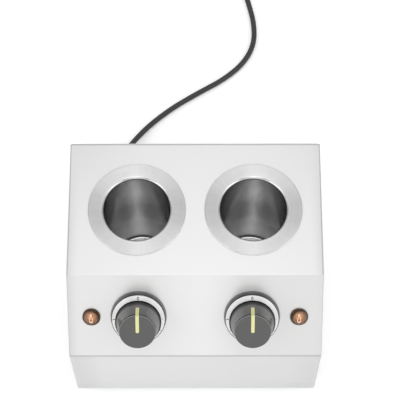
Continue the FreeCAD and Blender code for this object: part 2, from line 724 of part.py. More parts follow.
live, heat, neutral, lamp = [], [], [], []
for sx in (-1.0, 1.0):
    inner, outer_tab = sx * (KX - 8.0), sx * (KX + 8.0)
    live.append(
        tube([behind(inner, 37.7), behind(inner, 54.0), (inner, -30.0, 96.0), (sx * 44.0, -30.0, 50.0), (sx * 14.0, -26.0, 24.0), (sx * 6.0, 20.0, 21.0), (sx * 6.0, 71.8, 20.0)], 1.2)
    )
    heat.append(tube([behind(outer_tab, 37.7), behind(outer_tab, 50.0), (sx * 71.0, -22.0, 121.0), (sx * 73.5, -5.0, 120.0)], 1.2))
    neutral.append(
        tube([(sx * 48.5, -5.0, 66.0), (sx * 48.0, -22.0, 64.0), (sx * 42.0, -24.0, 44.0), (sx * 20.0, -18.0, 28.0), (sx * 12.0, 25.0, 26.0), (sx * 12.0, 71.8, 22.0)], 1.2)
    )
    lamp.append(tube([behind(sx * (LX - 3.0), 28.0), behind(sx * (LX - 3.0), 44.0), (sx * 88.0, -34.0, 122.0), (sx * 78.0, -30.0, 117.5), (sx * 76.2, -4.6, 114.0)], 0.9))
    lamp.append(tube([behind(sx * (LX + 3.0), 28.0), behind(sx * (LX + 3.0), 50.0), (sx * 96.0, -34.0, 90.0), (sx * 66.0, -36.0, 48.0), (sx * 30.0, -34.0, 30.0), (sx * 18.0, 20.0, 24.0), (sx * 18.0, 71.8, 22.0)], 0.9))
node("live_leads", feature("LiveLeads", Part.makeCompound(live)))
node("heater_leads", feature("HeaterLeads", Part.makeCompound(heat)))
node("neutral_leads", feature("NeutralLeads", Part.makeCompound(neutral)))
node("lamp_leads", feature("LampLeads", Part.makeCompound(lamp)))

term = cut(
    box(52.0, 20.0, 16.0, -26.0, 72.0, "bottom_z"),
    *[cyl(2.0, 8.0, x, 78.0, "bottom_z+10") for x in (-12.0, 0.0, 12.0)],
    *[cyl(2.0, 8.0, x, 86.0, "bottom_z+10") for x in (-12.0, 0.0, 12.0)],
    cyl(1.7, 20.0, -20.0, 82.0, "bottom_z-1"),
    cyl(1.7, 20.0, 20.0, 82.0, "bottom_z-1"),
)
node("terminal_block", term)
clamp_screws = [cut(cyl(1.9, 4.0, x, y, "bottom_z+10.5"), box(3.0, 0.7, 1.0, x - 1.5, y - 0.35, "bottom_z+13.8")) for x in (-12.0, 0.0, 12.0) for y in (78.0, 86.0)]
block_screws = [cross_headed(1.6, 18.6, 3.2, 2.0, x, 82.0, "bottom_z+16", None) for x in (-20.0, 20.0)]
node("terminal_screws", group(*clamp_screws, *block_screws))
stud = fuse(cyl(2.1, 18.0, 0, 52.0, "foot_height"), cyl(3.6, 2.4, 0, 52.0, "foot_height-2.4"))
stud_nuts = [put(cut(prism(6, 7.0, 3.2), cyl(2.15, 6.0, 0, 0, -1)), 0, 52.0, z) for z in ("bottom_z", "bottom_z+4.2")]
node("earth_stud", group(stud, *stud_nuts))
# the earth lead ends in a ring terminal held between the stud's two nuts
eye = Part.makeCylinder(4.0, 1.0, V(0, 52.0, P["bottom_z"] + 3.2)).cut(Part.makeCylinder(2.15, 2.0, V(0, 52.0, P["bottom_z"] + 2.7)))
neck = Part.makeBox(3.0, 3.4, 1.0, V(-1.5, 53.9, P["bottom_z"] + 3.2)).cut(Part.makeCylinder(2.15, 2.0, V(0, 52.0, P["bottom_z"] + 2.7)))
barrel = Part.makeCylinder(1.4, 4.2, V(0, 56.6, P["bottom_z"] + 4.6), V(0, 1, 0))
earth = tube([(0.0, 71.8, 18.0), (0.0, 67.0, 18.0), (0.0, 62.5, 14.6), (0.0, 58.0, 14.6)], 1.2)
node("earth_lead", feature("EarthLead", earth.fuse([eye, neck, barrel]).removeSplitter()))

EX, EZ, BY = P["exit_x"], P["exit_z"], P["back_y"]
supply = []
for k, (dx, dz) in enumerate(((-1.7, -1.0), (0.0, 1.9), (1.7, -1.0))):
    supply.append(tube([(EX + dx, BY - 6.0, EZ + dz), (EX + dx, BY - 14.0, EZ + dz), (EX + 16.0 + 1.6 * dx, 82.0 + 3.2 * k, 21.0 + 1.5 * dz), (-44.0, 79.5 + 2.8 * k, 18.5 + dz), (-26.2, 79.4 + 2.8 * k, 18.5 + dz)], 1.15))
node("supply_wires", feature("SupplyWires", Part.makeCompound(supply)))

# capillary: the sensing bulb lies against the cup in the gap of the heater band, and its thin tube runs up to the thermostat
for side, sx in (("left", -1.0), ("right", 1.0)):
    wx, wy = sx * WX, P["well_y"]
    zb = P["top_z"] - 140.0
    bulb_y = wy - (P["well_outer_r"] + 3.1)
    sensing = Part.makeCylinder(3.0, 62.0, V(wx, bulb_y, zb), V(0, 0, 1))
    neck = Part.makeCone(3.0, 1.0, 4.0, V(wx, bulb_y, zb + 62.0), V(0, 0, 1))
    pipe = tube(
        [(wx, bulb_y, zb + 66.0), (wx, bulb_y, zb + 76.0), (wx, bulb_y - 12.0, zb + 88.0), (sx * (KX + 1.0), -30.0, 155.0 - 14.0), behind(sx * KX, 40.0), behind(sx * KX, 28.5)], 1.0
    )
    node(side + "_capillary_bulb", feature(side.title() + "Capillary", sensing.fuse(neck).fuse(pipe).removeSplitter()))

# ================================================================== cord, coil and plug
boot = new_body("StrainRelief")
revolve(
    boot,
    [
        [
            (0, "boot_len"),
            ("cord_r+1.2", "boot_len"),
            (6.0, 5.0),
            (6.0, 3.0),
            (9.0, 3.0),
            (9.0, 0.0),
            (6.4, 0.0),
            (6.4, -1.0),
            (7.6, -1.2),
            (6.4, -7.0),
            (0, -7.0),
        ]
    ],
)
node("strain_relief", put(boot, "exit_x", "back_y+1", "exit_z", BACKWARD))

Z0 = P["cord_r"]
ROUTE = [
    (EX, BY + 1.0 + P["boot_len"], EZ),
    (EX, 160.5, EZ),
    (-81.5, 182.0, 19.0),
    (-71.1, 202.0, 7.0),
    (-55.9, 221.0, Z0),
    (-29.2, 243.6, Z0),
    (2.7, 264.0, Z0),
    (33.0, 281.6, Z0),
    (57.5, 303.5, Z0),
    (71.0, 330.0, Z0),
    (71.1, 359.5, Z0),
    (64.5, 387.5, Z0),
    (56.9, 415.0, Z0),
    (45.6, 442.0, Z0),
    (32.2, 467.0, Z0),
]
main_run = tube(ROUTE, P["cord_r"], report="cord, exit to coil")
TAIL = [
    (-4.0, 488.1, 9.8),
    (-16.0, 488.5, 12.0),
    (-30.0, 487.0, 16.6),
    (-44.0, 485.2, 18.5),
    (-54.0, 485.2, 18.5),
]
tail = tube(TAIL, P["cord_r"], report="cord, coil to plug")
node("power_cord", feature("PowerCord", Part.makeCompound([main_run, tail])))
coil = new_body("CordCoil")
rev = revolve(coil, [[("coil_r_in", 0), ("coil_r_out", 0), ("coil_r_out", "coil_h"), ("coil_r_in", "coil_h")]])
fillet(coil, rev, lambda e: hasattr(e.Curve, "Radius") and abs(e.Curve.Center.z) < 20 and len(e.Vertexes) == 1, 2.8)
node("cord_coil", put(coil, "coil_x", "coil_y", 0))

# round two-pin plug, moulded on the cord; local z = 0 is its face and +Z runs back along the cord
plug = new_body("MainsPlug")
rev = revolve(
    plug,
    [
        [
            (0, 0),
            ("plug_r", 0),
            ("plug_r", 24.0),
            (9.5, 36.0),
            (6.6, 38.0),
            (4.4, 60.0),
            (0, 60.0),
        ]
    ],
)
fillet(plug, rev, ring_edge(P["plug_r"], 0), 1.2)
plug_cut = cut(
    plug,
    cyl("pin_r+0.02", 10.0, "pin_pitch", 0, -1.0),
    cyl("pin_r+0.02", 10.0, "-pin_pitch", 0, -1.0),
    box(5.4, 5.0, 20.0, -2.7, 16.9, -1.0),
    box(5.4, 5.0, 20.0, -2.7, -21.9, -1.0),
    cyl(2.6, 16.0, 0, -9.8, -1.0),
)
TO_LEFT = Rotation(V(0, 1, 0), 90)  # +Z of the plug to +X, so its face looks along -X
node("mains_plug", put(plug_cut, -114.0, 485.2, "plug_r", TO_LEFT))
pins = []
for px in ("pin_pitch", "-pin_pitch"):
    pins.append(fuse(cyl("pin_r", "pin_len+7", px, 0, "-pin_len+1"), cone(1.5, "pin_r", 1.0, px, 0, "-pin_len")))
node("plug_pins", put(group(*pins), -114.0, 485.2, "plug_r", TO_LEFT))
strips = [box(4.8, 0.8, 15.0, -2.4, 16.95, 1.5), box(4.8, 0.8, 15.0, -2.4, -17.75, 1.5)]
node("plug_earth_contacts", put(group(*strips), -114.0, 485.2, "plug_r", TO_LEFT))

# ================================================================== checks, then one file for each piece
doc.recompute()
bad = [o.Name for o in doc.Objects if "Invalid" in o.State or "Error" in o.State]
if bad:
    raise RuntimeError("failed objects: %s" % bad)
labels = [o.Label for o in NODES]
if len(set(labels)) != len(labels) or len(labels) > 60:
    raise RuntimeError("labels: %d, of which %d differ" % (len(labels), len(set(labels))))
low = 1e9
for o in NODES:
    s = o.Shape
    if s.isNull() or not s.isValid() or s.Volume <= 0 or not s.Solids:
        raise RuntimeError("%s has no valid solid" % o.Label)
    low = min(low, s.BoundBox.ZMin)
for o in NODES:
    s, b = o.Shape, o.Shape.BoundBox
    s.exportStep("parts/%s.step" % o.Label)
    print(
        "%-28s %2d solids %10.1f mm3  x %.1f..%.1f y %.1f..%.1f z %.1f..%.1f"
        % (o.Label, len(s.Solids), s.Volume, b.XMin, b.XMax, b.YMin, b.YMax, b.ZMin, b.ZMax)
    )
print("nodes", len(NODES), "lowest point %.3f" % low)
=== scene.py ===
import json
import math

import bmesh
import bpy
from mathutils import Matrix, Vector


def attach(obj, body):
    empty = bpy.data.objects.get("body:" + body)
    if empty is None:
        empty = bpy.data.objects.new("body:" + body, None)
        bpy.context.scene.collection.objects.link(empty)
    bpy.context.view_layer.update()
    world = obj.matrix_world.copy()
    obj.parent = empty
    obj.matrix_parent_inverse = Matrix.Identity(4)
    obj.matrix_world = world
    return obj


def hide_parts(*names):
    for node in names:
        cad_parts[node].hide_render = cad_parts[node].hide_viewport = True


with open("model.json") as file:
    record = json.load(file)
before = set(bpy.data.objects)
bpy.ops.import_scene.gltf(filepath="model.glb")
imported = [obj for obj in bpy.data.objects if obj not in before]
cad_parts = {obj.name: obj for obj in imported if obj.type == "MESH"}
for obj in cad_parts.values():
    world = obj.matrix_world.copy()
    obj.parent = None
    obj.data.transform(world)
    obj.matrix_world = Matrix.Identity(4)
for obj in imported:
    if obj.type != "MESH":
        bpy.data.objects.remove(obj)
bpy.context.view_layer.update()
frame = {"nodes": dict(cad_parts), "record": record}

# Topping warmer with two round wells. Frame: +X right, +Y rear, +Z up, metres; z = 0 is the surface it stands on.
scene = bpy.context.scene
NODES = frame["nodes"]
HOUSING = "housing"
PANEL_Y, PANEL_Z = -0.07344, 0.16596  # middle line of the sloped panel
FRONT_FOLD = (-0.10600, 0.13215)  # (y, z) of the fold between the front and the sloped panel
BACK_FOLD = (0.1083, 0.1995)  # (y, z) of the top's rear fold
SIDES = (("left", -1.0), ("right", 1.0))

# ------------------------------------------------------------------ camera
cam_data = bpy.data.cameras.new("camera")
cam_data.sensor_width = 36.0
cam_data.lens = 146.52
cam_data.clip_start, cam_data.clip_end = 0.05, 30.0
camera = bpy.data.objects.new("camera", cam_data)
scene.collection.objects.link(camera)
ELEVATION, AZIMUTH, ROLL = math.radians(67.68), math.radians(-0.384), math.radians(-0.435)
forward = Vector((math.sin(AZIMUTH) * math.cos(ELEVATION), math.cos(AZIMUTH) * math.cos(ELEVATION), -math.sin(ELEVATION)))
right = forward.cross(Vector((0, 0, 1))).normalized()
up = right.cross(forward)
right_r = math.cos(ROLL) * right + math.sin(ROLL) * up
up_r = -math.sin(ROLL) * right + math.cos(ROLL) * up
turn = Matrix((right_r, up_r, -forward)).transposed()
camera.matrix_world = Matrix.Translation(Vector((0.0094, -0.6032, 1.7747))) @ turn.to_4x4()
scene.camera = camera

# ------------------------------------------------------------------ cord
CORD_R = 0.0032
ROUTE = [
    (-0.0880, 0.1413, 0.0300),
    (-0.0880, 0.1605, 0.0300),
    (-0.0815, 0.1820, 0.0190),
    (-0.0711, 0.2020, 0.0070),
    (-0.0559, 0.2210, 0.0032),
    (-0.0292, 0.2436, 0.0032),
    (0.0027, 0.2640, 0.0032),
    (0.0330, 0.2816, 0.0032),
    (0.0575, 0.3035, 0.0032),
    (0.0710, 0.3300, 0.0032),
    (0.0711, 0.3595, 0.0032),
    (0.0645, 0.3875, 0.0032),
    (0.0569, 0.4150, 0.0032),
    (0.0456, 0.4420, 0.0032),
    (0.0322, 0.4670, 0.0032),
]
TAIL = [
    (-0.0160, 0.4885, 0.0120),
    (-0.0300, 0.4870, 0.0166),
    (-0.0440, 0.4852, 0.0185),
    (-0.0540, 0.4852, 0.0185),
]
COIL_X, COIL_Y = -0.004, 0.4465
LOW, HIGH = 0.0032, 0.0098


def smooth(t):
    t = max(0.0, min(1.0, t))
    return t * t * (3 - 2 * t)


def coil_turns():
    """Three turns wound inwards on the floor, then two and a bit wound outwards on top of them."""
    rings = [(300, 355, 0.0416, 0.0350), (660, 715, 0.0350, 0.0284), (1265, 1320, 0.0284, 0.0350), (1625, 1680, 0.0350, 0.0416)]
    points = []
    steps = 83
    for i in range(1, steps + 1):
        a = 29.6 + (1890.0 - 29.6) * i / steps
        r = 0.0416
        for start, end, before, after in rings:
            if a > start:
                r = before + (after - before) * smooth((a - start) / (end - start))
        z = LOW + (HIGH - LOW) * smooth((a - 980) / 80)
        out = r / math.cos(math.radians(180.0 / (360.0 * steps / 1860.4)))
        points.append((COIL_X + out * math.cos(math.radians(a)), COIL_Y + out * math.sin(math.radians(a)), z))
    return points


cord_points = ROUTE + coil_turns() + TAIL
cord_curve = bpy.data.curves.new("cord", "CURVE")
cord_curve.dimensions = "3D"
spline = cord_curve.splines.new("NURBS")
spline.points.add(len(cord_points) - 1)
for point, co in zip(spline.points, cord_points):
    point.co = (*co, 1.0)
    point.radius = CORD_R  # the thickness is the point's radius times the bevel depth, and the curve's box counts the radius alone
spline.order_u = 3
spline.use_endpoint_u = True
spline.resolution_u = 6
cord_curve.bevel_depth = 1.0
cord_curve.bevel_resolution = 5
cord_curve.use_fill_caps = True
cord = bpy.data.objects.new("mains_cord", cord_curve)
scene.collection.objects.link(cord)
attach(cord, HOUSING)
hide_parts("power_cord", "cord_coil")


# ------------------------------------------------------------------ material nodes
class Look:
    """A node material: makes nodes, links them, and sets the shader's own sockets."""

    def __init__(self, name):
        self.material = bpy.data.materials.new(name)
        self.material.use_nodes = True
        self.tree = self.material.node_tree
        self.tree.nodes.clear()
        self.output = self.tree.nodes.new("ShaderNodeOutputMaterial")
        self.shader = self.tree.nodes.new("ShaderNodeBsdfPrincipled")
        self.link(self.shader.outputs["BSDF"], self.output.inputs["Surface"])
        self._place = None

    def link(self, a, b):
        self.tree.links.new(a, b)

    def set(self, **values):
        for key, value in values.items():
            self.shader.inputs[key.replace("_", " ").title().replace("Ior", "IOR")].default_value = value
        return self

    def node(self, kind, *inputs, **props):
        n = self.tree.nodes.new(kind)
        for key, value in props.items():
            setattr(n, key, value)
        for i, value in enumerate(inputs):
            if value is None:
                continue
            if isinstance(value, bpy.types.NodeSocket):
                self.link(value, n.inputs[i])
            else:
                n.inputs[i].default_value = value
        return n

    def math(self, op, a, b=None, c=None, clamp=False):
        n = self.node("ShaderNodeMath", a, b, c, operation=op)
        n.use_clamp = clamp
        return n.outputs[0]

    def vmath(self, op, a, b=None):
        return self.node("ShaderNodeVectorMath", a, b, operation=op).outputs[0]

    def place(self):
        if self._place is None:
            self._place = self.tree.nodes.new("ShaderNodeTexCoord").outputs["Object"]
        return self._place

    def normal(self):
        return self.node("ShaderNodeNewGeometry").outputs["Normal"]

    def xyz(self, vector):
        n = self.node("ShaderNodeSeparateXYZ", vector)
        return n.outputs[0], n.outputs[1], n.outputs[2]

    def join(self, x, y, z):
        return self.node("ShaderNodeCombineXYZ", x, y, z).outputs[0]

    def noise(self, vector, scale=1.0, detail=3.0, roughness=0.55, distortion=0.0):
        n = self.tree.nodes.new("ShaderNodeTexNoise")
        self.link(vector, n.inputs["Vector"])
        n.inputs["Scale"].default_value = scale
        n.inputs["Detail"].default_value = detail
        n.inputs["Roughness"].default_value = roughness
        n.inputs["Distortion"].default_value = distortion
        return n.outputs["Fac"]

    def scaled(self, vector, x, y, z):
        return self.vmath("MULTIPLY", vector, (x, y, z))

    def range(self, value, low, high, to_low, to_high):
        n = self.node("ShaderNodeMapRange", value, low, high, to_low, to_high)
        n.clamp = True
        return n.outputs[0]

    def ramp(self, value, *stops):
        n = self.tree.nodes.new("ShaderNodeValToRGB")
        self.link(value, n.inputs[0])
        r = n.color_ramp
        while len(r.elements) < len(stops):
            r.elements.new(0.5)
        for element, (at, colour) in zip(r.elements, stops):
            element.position = at
            element.color = (*colour, 1.0)
        return n.outputs[0]

    def mix(self, fac, a, b):
        n = self.tree.nodes.new("ShaderNodeMix")
        n.data_type = "RGBA"
        for socket, value in ((n.inputs[0], fac), (n.inputs[6], a), (n.inputs[7], b)):
            if isinstance(value, bpy.types.NodeSocket):
                self.link(value, socket)
            else:
                socket.default_value = (*value, 1.0) if isinstance(value, tuple) else value
        return n.outputs[2]

    def bump(self, height, strength, distance):
        n = self.node("ShaderNodeBump")
        n.inputs["Strength"].default_value = strength
        n.inputs["Distance"].default_value = distance
        self.link(height, n.inputs["Height"])
        self.link(n.outputs[0], self.shader.inputs["Normal"])

    def colour(self, socket):
        self.link(socket, self.shader.inputs["Base Color"])

    def rough(self, socket):
        self.link(socket, self.shader.inputs["Roughness"])


def tone(colour, k):
    return tuple(max(0.0, min(1.0, c * k)) for c in colour)


def brushed_sheet(name, colour, rough, aniso):
    """Straight-brushed sheet: along X, and along Y on the end faces. Its colour also carries painted shade and a
    painted highlight: darker side edges, a darker right part of the slope and front, a paler band down the middle of
    the slope, darker rear corners, a darker front face and dark lines along the two folds.
    """
    m = Look(name)
    m.set(metallic=0.62, anisotropic=aniso)
    p, n = m.place(), m.normal()
    nx = m.xyz(n)[0]
    side = m.range(m.math("ABSOLUTE", nx), 0.6, 0.8, 0.0, 1.0)
    along_x = m.noise(m.scaled(p, 11.0, 2100.0, 2100.0), detail=3.0, roughness=0.6)
    along_y = m.noise(m.scaled(p, 2100.0, 11.0, 2100.0), detail=3.0, roughness=0.6)
    grain = m.math("ADD", m.math("MULTIPLY", along_x, m.math("SUBTRACT", 1.0, side)), m.math("MULTIPLY", along_y, side))
    cloud = m.noise(p, scale=7.0, detail=3.0, roughness=0.5)
    sheet = m.mix(m.range(grain, 0.3, 0.7, 0.0, 1.0), tone(colour, 0.990), tone(colour, 1.010))
    x, y, z = m.xyz(p)
    # painted shade: the sheet darker towards its left and right edges
    painted_edge_shade = m.range(m.math("ABSOLUTE", x), 0.1195, 0.1320, 0.0, 1.0)
    sheet = m.mix(m.math("MULTIPLY", m.math("POWER", painted_edge_shade, 1.6), 0.55), sheet, tone(colour, 0.72))
    nz = m.xyz(n)[2]
    steep = m.range(nz, 0.85, 0.95, 1.0, 0.0)
    # painted shade: the slope and the front darker towards the right
    sheet = m.mix(m.math("MULTIPLY", m.math("MULTIPLY", steep, m.range(x, -0.01, 0.10, 0.0, 1.0)), 0.85), sheet, tone(colour, 0.93))
    # painted highlight: a paler band down the middle of the slope
    middle = m.range(m.math("ABSOLUTE", m.math("SUBTRACT", x, 0.008)), 0.004, 0.040, 1.0, 0.0)
    sheet = m.mix(m.math("MULTIPLY", m.math("MULTIPLY", steep, m.range(nz, 0.2, 0.5, 0.0, 1.0)), m.math("MULTIPLY", middle, 0.8)), sheet, tone(colour, 1.06))
    # painted shade: darker towards the rear corners
    corner = m.math("MULTIPLY", m.range(m.math("ABSOLUTE", m.math("SUBTRACT", x, 0.015)), 0.070, 0.130, 0.0, 1.0), m.range(y, 0.020, 0.100, 0.0, 1.0))
    sheet = m.mix(corner, sheet, tone(colour, 0.945))
    # painted shade: the front face darker, most of all towards its ends
    front = m.range(nz, 0.2, 0.5, 1.0, 0.0)
    painted_front_shade = m.range(m.math("ABSOLUTE", x), 0.100, 0.126, 0.32, 1.0)
    sheet = m.mix(m.math("MULTIPLY", front, painted_front_shade), sheet, tone(colour, 0.83))
    # painted shade: dark lines along the fold between the front and the slope and along the top's rear fold
    for fold_y, fold_z, reach, share in ((*FRONT_FOLD, 0.0023, 0.66), (*BACK_FOLD, 0.0030, 0.50)):
        dy, dz = m.math("SUBTRACT", y, fold_y), m.math("SUBTRACT", z, fold_z)
        away = m.math("SQRT", m.math("ADD", m.math("MULTIPLY", dy, dy), m.math("MULTIPLY", dz, dz)))
        sheet = m.mix(m.range(away, reach * 0.45, reach, share, 0.0), sheet, tone(colour, 0.45))
    m.colour(sheet)
    m.rough(m.range(m.math("ADD", m.math("MULTIPLY", grain, 0.4), m.math("MULTIPLY", cloud, 0.6)), 0.3, 0.7, rough * 0.986, rough * 1.02))
    brush = m.join(m.math("SUBTRACT", 1.0, side), side, 0.0)
    m.link(m.vmath("CROSS_PRODUCT", n, brush), m.shader.inputs["Tangent"])
    m.bump(grain, 0.02, 0.00003)
    return m.material


def spun_metal(name, colour, rough, wall_rough, aniso, centre):
    """Turned or spun metal, brushed round a vertical axis, with painted shade on the well walls and painted light on
    the well floor and the flange's outer rim. centre is (x, y) of the right-hand one of a mirrored pair.
    """
    m = Look(name)
    m.set(metallic=1.0, anisotropic=aniso)
    p, n = m.place(), m.normal()
    x, y, z = m.xyz(p)
    cx, cy = centre
    dx = m.math("SUBTRACT", m.math("ABSOLUTE", x), cx)
    dx = m.math("MULTIPLY", dx, m.math("SIGN", x))
    dy = m.math("SUBTRACT", y, cy)
    r = m.math("SQRT", m.math("ADD", m.math("MULTIPLY", dx, dx), m.math("MULTIPLY", dy, dy)))
    angle = m.math("ARCTAN2", dy, dx)
    ring = m.join(m.math("MULTIPLY", r, 1500.0), m.math("MULTIPLY", z, 900.0), m.math("MULTIPLY", angle, 1.2))
    grain = m.noise(ring, detail=3.0, roughness=0.7)
    broad = m.noise(m.join(m.math("MULTIPLY", r, 120.0), m.math("MULTIPLY", z, 60.0), m.math("MULTIPLY", angle, 0.8)), detail=2.0)
    tint = m.mix(m.range(m.math("ADD", m.math("MULTIPLY", grain, 0.6), m.math("MULTIPLY", broad, 0.4)), 0.35, 0.65, 0.0, 1.0), tone(colour, 0.975), tone(colour, 1.02))
    spokes = m.noise(m.join(m.math("MULTIPLY", m.math("DIVIDE", dx, r), 5.0), m.math("MULTIPLY", m.math("DIVIDE", dy, r), 5.0), m.math("MULTIPLY", r, 25.0)), detail=4.0, roughness=0.65)
    tint = m.mix(m.math("MULTIPLY", m.range(spokes, 0.42, 0.62, 0.0, 1.0), m.range(r, 0.0375, 0.0400, 0.0, 1.0)), tint, tone(colour, 0.96))
    # painted shade: the well walls darkest at mid-depth
    painted_wall_shade = m.math("MULTIPLY", m.range(z, 0.130, 0.164, 1.0, 0.0), m.range(z, 0.062, 0.096, 0.0, 1.0))
    # painted shade: the lower part of the well walls darker
    low = m.range(z, 0.066, 0.100, 1.0, 0.0)
    # painted light: the floor of each well paler
    painted_floor_light = m.range(z, 0.0328, 0.0338, 1.0, 0.0)
    # painted light: the outer rim of the flange paler; the same mask also makes it rougher
    rim = m.range(r, 0.0504, 0.0510, 0.0, 1.0)
    walls = m.mix(painted_wall_shade, m.mix(low, m.mix(m.range(r, 0.0360, 0.0374, 1.0, 0.0), tint, tone(colour, 0.955)), tone(colour, 0.71)), tone(colour, 0.53))
    m.colour(m.mix(rim, m.mix(painted_floor_light, walls, tone(colour, 1.26)), tone(colour, 1.30)))
    inside = m.range(r, 0.0360, 0.0380, 1.0, 0.0)
    heated = m.range(z, 0.080, 0.096, 1.0, 0.0)
    drawn = m.range(z, 0.105, 0.190, wall_rough * 0.95, wall_rough * 1.20)
    wall = m.math("ADD", m.math("MULTIPLY", drawn, m.math("SUBTRACT", 1.0, heated)), m.math("MULTIPLY", wall_rough * 1.56, heated))
    base = m.math("ADD", m.math("MULTIPLY", wall, inside), m.math("MULTIPLY", rough, m.math("SUBTRACT", 1.0, inside)))
    base = m.math("ADD", base, m.math("MULTIPLY", rim, 0.2))
    m.rough(m.math("MULTIPLY", base, m.range(grain, 0.3, 0.7, 0.85, 1.15)))
    around = m.join(m.math("MULTIPLY", dy, -1.0), dx, 0.0)
    m.link(m.vmath("NORMALIZE", m.vmath("CROSS_PRODUCT", n, around)), m.shader.inputs["Tangent"])
    m.bump(grain, 0.10, 0.00006)
    return m.material


def plain_metal(name, colour, rough, scale=400.0, spread=0.06):
    """Plated or cast metal with a fine uneven surface."""
    m = Look(name)
    m.set(metallic=1.0)
    p = m.place()
    fine = m.noise(p, scale=scale, detail=4.0)
    broad = m.noise(p, scale=scale / 12, detail=3.0)
    m.colour(m.mix(m.range(broad, 0.3, 0.7, 0.0, 1.0), tone(colour, 1 - spread), tone(colour, 1 + spread)))
    m.rough(m.range(fine, 0.3, 0.7, rough * 0.8, rough * 1.25))
    m.bump(fine, 0.12, 0.0001)
    return m.material


def moulded(name, colour, rough, grain=2600.0, depth=0.00004, strength=0.3, spread=0.08, coat=0.0, specular=0.5):
    """Moulded plastic or rubber with a fine spark-eroded grain and a slight unevenness."""
    m = Look(name)
    m.set(coat_weight=coat, specular_ior_level=specular)
    p = m.place()
    fine = m.noise(p, scale=grain, detail=2.0, roughness=0.5)
    broad = m.noise(p, scale=60.0, detail=3.0)
    m.colour(m.mix(m.range(m.math("ADD", m.math("MULTIPLY", fine, 0.5), m.math("MULTIPLY", broad, 0.5)), 0.35, 0.65, 0.0, 1.0), tone(colour, 1 - spread), tone(colour, 1 + spread)))
    m.rough(m.range(broad, 0.3, 0.7, rough * 0.9, rough * 1.1))
    m.bump(fine, strength, depth)
    return m.material


def knob_moulding(name, colour, rough):
    """Knob moulding: fine grain, with painted light and shade: a paler skirt under the cap, a painted highlight on the
    cap's edge, a painted shadow in the groove under the cap, and painted shade that makes the rim and foot dark near
    the scale.
    """
    m = Look(name)
    p = m.place()
    x, y, z = m.xyz(p)
    out = m.math("MULTIPLY", m.math("SUBTRACT", m.math("SUBTRACT", z, PANEL_Z), m.math("SUBTRACT", y, PANEL_Y)), 0.70711)
    # painted shade: the knob's lower rim and foot dark near the scale, with their gloss turned down
    foot = m.math("ADD", m.range(out, 0.0138, 0.0152, 0.0, 0.30), m.range(out, 0.0164, 0.0192, 0.0, 0.70))
    skirt = m.range(out, 0.0325, 0.0330, 1.0, 0.0)
    fine = m.noise(p, scale=3200.0, detail=2.0, roughness=0.5)
    broad = m.noise(p, scale=60.0, detail=3.0)
    # painted shade: a dark line in the groove under the cap, with its gloss turned off
    painted_groove_shade = m.math("MULTIPLY", m.range(out, 0.0323, 0.0326, 0.0, 1.0), m.range(out, 0.0335, 0.0338, 1.0, 0.0))
    nx, ny, nz = m.xyz(m.normal())
    lean = m.math("MULTIPLY", m.math("SUBTRACT", nz, ny), 0.70711)
    # painted highlight: a pale line on the cap's rounded edge
    rim = m.math("MULTIPLY", m.range(lean, 0.82, 0.985, 1.0, 0.0), m.range(out, 0.0338, 0.0341, 0.0, 1.0))
    patch = m.range(m.math("ADD", m.math("MULTIPLY", fine, 0.5), m.math("MULTIPLY", broad, 0.5)), 0.35, 0.65, 0.0, 1.0)
    # painted light: the skirt under the cap paler than the cap
    base = m.mix(skirt, m.mix(patch, tone(colour, 0.94), tone(colour, 1.06)), m.mix(patch, tone(colour, 1.62), tone(colour, 1.72)))
    base = m.mix(rim, base, tone(colour, 3.3))
    base = m.mix(painted_groove_shade, base, tone(colour, 0.12))
    m.colour(m.mix(foot, tone(colour, 0.15), base))
    gloss = m.math("MULTIPLY", foot, m.math("ADD", 0.62, m.math("MULTIPLY", skirt, 0.28)))
    m.link(m.math("MULTIPLY", gloss, m.math("SUBTRACT", 1.0, painted_groove_shade)), m.shader.inputs["Specular IOR Level"])
    m.rough(m.math("ADD", m.range(broad, 0.3, 0.7, rough * 0.92, rough * 1.08), m.math("MULTIPLY", skirt, 0.075)))
    m.bump(fine, 0.2, 0.00002)
    return m.material


def bezel_moulding(name, colour, rough):
    """Dark moulding, with painted light and shade that make it a little paler at its foot than at its shoulder."""
    m = Look(name)
    m.set(coat_weight=0.1)
    p = m.place()
    x, y, z = m.xyz(p)
    out = m.math("MULTIPLY", m.math("SUBTRACT", m.math("SUBTRACT", z, PANEL_Z), m.math("SUBTRACT", y, PANEL_Y)), 0.70711)
    fine = m.noise(p, scale=2600.0, detail=2.0, roughness=0.5)
    broad = m.noise(p, scale=60.0, detail=3.0)
    patch = m.range(m.math("ADD", m.math("MULTIPLY", fine, 0.5), m.math("MULTIPLY", broad, 0.5)), 0.35, 0.65, 0.0, 1.0)
    # painted light and shade: paler at the foot, darker at the shoulder
    shoulder = m.range(out, 0.0015, 0.0058, 0.0, 1.0)
    m.colour(m.mix(shoulder, m.mix(patch, tone(colour, 3.40), tone(colour, 3.60)), m.mix(patch, tone(colour, 0.34), tone(colour, 0.42))))
    m.rough(m.range(broad, 0.3, 0.7, rough * 0.9, rough * 1.1))
    m.bump(fine, 0.3, 0.00004)
    return m.material


def fibre(name, colour):
    """Felted mineral fibre: soft, matt, with short lying hairs."""
    m = Look(name)
    m.set(sheen_weight=0.4, roughness=0.95)
    p = m.place()
    hairs = m.noise(m.scaled(p, 500.0, 900.0, 250.0), detail=5.0, roughness=0.7, distortion=1.5)
    broad = m.noise(p, scale=45.0, detail=4.0)
    m.colour(m.mix(m.math("MULTIPLY", hairs, broad), tone(colour, 0.7), tone(colour, 1.1)))
    m.bump(hairs, 0.6, 0.0006)
    return m.material


